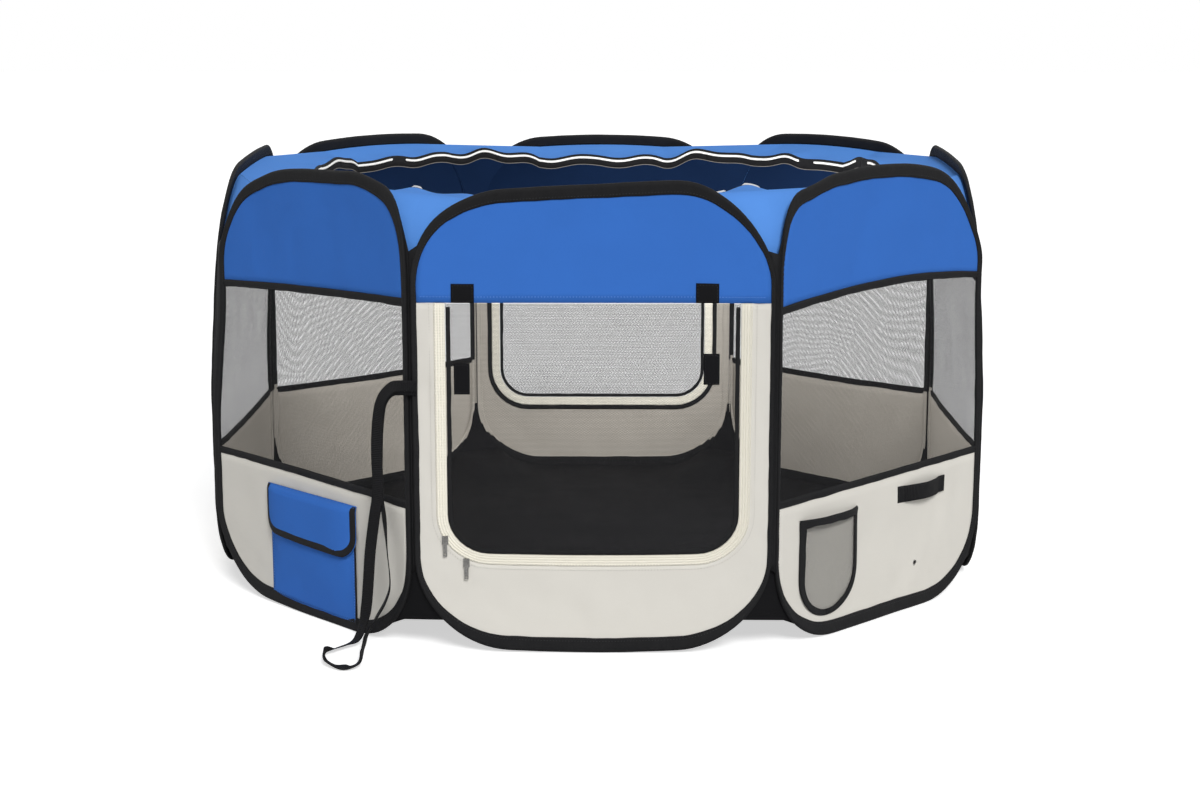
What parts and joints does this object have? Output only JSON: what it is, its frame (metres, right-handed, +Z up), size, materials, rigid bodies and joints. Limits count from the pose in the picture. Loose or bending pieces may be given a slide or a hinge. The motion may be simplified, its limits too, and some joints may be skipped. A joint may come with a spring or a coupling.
{
  "type": "foldable dog playpen",
  "caption": "Eight-sided folding fabric pet pen: wire hoops bound round cloth and net panels, zip doors, sewn floor and an open top with a collar.",
  "frame": {"origin": "centre of the floor's underside, on the ground", "axes": "+Z up, -Y out through the front door, +X to the right seen from the front"},
  "size_m": [1.106, 1.1829, 0.6],
  "materials": {
    "spring_steel": "bare spring wire",
    "black_tape": "woven polyester binding tape, matt",
    "hook_tape": "hook-and-loop tape, matt",
    "black_webbing": "ribbed webbing, matt",
    "blue_cloth": "coated polyester canvas, low sheen",
    "light_blue_cloth": "coated polyester canvas, low sheen",
    "black_net": "knitted hexagonal net",
    "cream_cloth": "coated polyester canvas, matt",
    "zip_tape": "woven zip tape with a nylon coil",
    "silver_metal": "plated die casting, worn",
    "black_cloth": "coated polyester canvas, matt"
  },
  "bodies": {
    "front": {"hoop_wire_front": "spring_steel", "hoop_binding_front": "black_tape", "top_band_front": "blue_cloth", "door_surround_front": "cream_cloth", "door_zip_front": "zip_tape", "door_tab_left": "black_tape", "door_tab_right": "black_tape", "floor_sheet": "black_cloth", "top_collar": "light_blue_cloth", "carry_strap": "black_webbing"},
    "front_right": {"hoop_wire_front_right": "spring_steel", "hoop_binding_front_right": "black_tape", "top_band_front_right": "blue_cloth", "window_mesh_front_right": "black_net", "lower_panel_front_right": "cream_cloth", "net_pocket": "black_net", "webbing_loop": "black_webbing", "eyelet": "silver_metal"},
    "right": {"hoop_wire_right": "spring_steel", "hoop_binding_right": "black_tape", "top_band_right": "blue_cloth", "window_mesh_right": "black_net", "lower_panel_right": "cream_cloth"},
    "back_right": {"hoop_wire_back_right": "spring_steel", "hoop_binding_back_right": "black_tape", "top_band_back_right": "blue_cloth", "window_mesh_back_right": "black_net", "lower_panel_back_right": "cream_cloth"},
    "back": {"hoop_wire_back": "spring_steel", "hoop_binding_back": "black_tape", "top_band_back": "blue_cloth", "door_surround_back": "cream_cloth", "door_zip_back": "zip_tape"},
    "back_left": {"hoop_wire_back_left": "spring_steel", "hoop_binding_back_left": "black_tape", "top_band_back_left": "blue_cloth", "window_mesh_back_left": "black_net", "lower_panel_back_left": "cream_cloth"},
    "left": {"hoop_wire_left": "spring_steel", "hoop_binding_left": "black_tape", "top_band_left": "blue_cloth", "window_mesh_left": "black_net", "lower_panel_left": "cream_cloth"},
    "front_left": {"hoop_wire_front_left": "spring_steel", "hoop_binding_front_left": "black_tape", "top_band_front_left": "blue_cloth", "window_mesh_front_left": "black_net", "lower_panel_front_left": "cream_cloth", "pocket_bag": "blue_cloth"},
    "front_door": {"door_mesh_front": "black_net", "door_patch_left": "hook_tape", "door_patch_right": "hook_tape"},
    "back_door": {"door_mesh_back": "black_net"},
    "pocket_flap": {"pocket_flap": "blue_cloth"},
    "side_slider": {"zip_slider_side": "silver_metal"},
    "side_pull": {"zip_pull_side": "silver_metal"},
    "sill_slider": {"zip_slider_sill": "silver_metal"},
    "sill_pull": {"zip_pull_sill": "silver_metal"},
    "back_slider": {"zip_slider_back": "silver_metal"},
    "back_pull": {"zip_pull_back": "silver_metal"}
  },
  "joints": [
    {"name": "fold_front_right", "type": "hinge", "parent": "front", "child": "front_right", "pos_m": [0.2325, -0.54999, 0], "axis": [0, 0, -1], "range_deg": [0, 120], "deforming": ["floor_sheet", "top_collar"]},
    {"name": "fold_right", "type": "hinge", "parent": "front_right", "child": "right", "pos_m": [0.54639, -0.23101, 0], "axis": [0, 0, 1], "range_deg": [0, 120]},
    {"name": "fold_back_right", "type": "hinge", "parent": "right", "child": "back_right", "pos_m": [0.54999, 0.2325, 0], "axis": [0, 0, -1], "range_deg": [0, 120]},
    {"name": "fold_back", "type": "hinge", "parent": "back_right", "child": "back", "pos_m": [0.23101, 0.54639, 0], "axis": [0, 0, 1], "range_deg": [0, 120]},
    {"name": "fold_front_left", "type": "hinge", "parent": "front", "child": "front_left", "pos_m": [-0.23101, -0.54639, 0], "axis": [0, 0, -1], "range_deg": [0, 120]},
    {"name": "fold_left", "type": "hinge", "parent": "front_left", "child": "left", "pos_m": [-0.54999, -0.2325, 0], "axis": [0, 0, 1], "range_deg": [0, 120]},
    {"name": "fold_back_left", "type": "hinge", "parent": "left", "child": "back_left", "pos_m": [-0.54639, 0.23101, 0], "axis": [0, 0, -1], "range_deg": [0, 120]},
    {"name": "front_door_swing", "type": "hinge", "parent": "front", "child": "front_door", "pos_m": [0, -0.54999, 0.4565], "axis": [-1, 0, 0], "range_deg": [0, 100]},
    {"name": "back_door_swing", "type": "hinge", "parent": "back", "child": "back_door", "pos_m": [0, 0.54999, 0.4565], "axis": [1, 0, 0], "range_deg": [0, 100]},
    {"name": "pocket_flap_lift", "type": "hinge", "parent": "front_left", "child": "pocket_flap", "pos_m": [-0.38523, -0.39938, 0.174], "axis": [-0.7071, 0.7071, 0], "range_deg": [0, 110]},
    {"name": "side_slider_travel", "type": "slide", "parent": "front", "child": "side_slider", "axis": [0, 0, 1], "range_m": [0, 0.285]},
    {"name": "side_pull_swing", "type": "hinge", "parent": "side_slider", "child": "side_pull", "pos_m": [-0.19, -0.55419, 0.154], "axis": [-1, 0, 0], "range_deg": [0, 90]},
    {"name": "sill_slider_travel", "type": "slide", "parent": "front", "child": "sill_slider", "axis": [1, 0, 0], "range_m": [0, 0.326]},
    {"name": "sill_pull_swing", "type": "hinge", "parent": "sill_slider", "child": "sill_pull", "pos_m": [-0.163, -0.55419, 0.12375], "axis": [-1, 0, 0], "range_deg": [0, 90]},
    {"name": "back_slider_travel", "type": "slide", "parent": "back", "child": "back_slider", "axis": [1, 0, 0], "range_m": [-0.1, 0.22]},
    {"name": "back_pull_swing", "type": "hinge", "parent": "back_slider", "child": "back_pull", "pos_m": [-0.06, 0.55419, 0.12375], "axis": [1, 0, 0], "range_deg": [0, 90]}
  ],
  "couplings": [
    {"joint": "fold_right", "follows": "fold_front_right", "ratio": 1},
    {"joint": "fold_back_right", "follows": "fold_front_right", "ratio": 1},
    {"joint": "fold_back", "follows": "fold_front_right", "ratio": 1},
    {"joint": "fold_front_left", "follows": "fold_front_right", "ratio": 1},
    {"joint": "fold_left", "follows": "fold_front_right", "ratio": 1},
    {"joint": "fold_back_left", "follows": "fold_front_right", "ratio": 1}
  ]
}
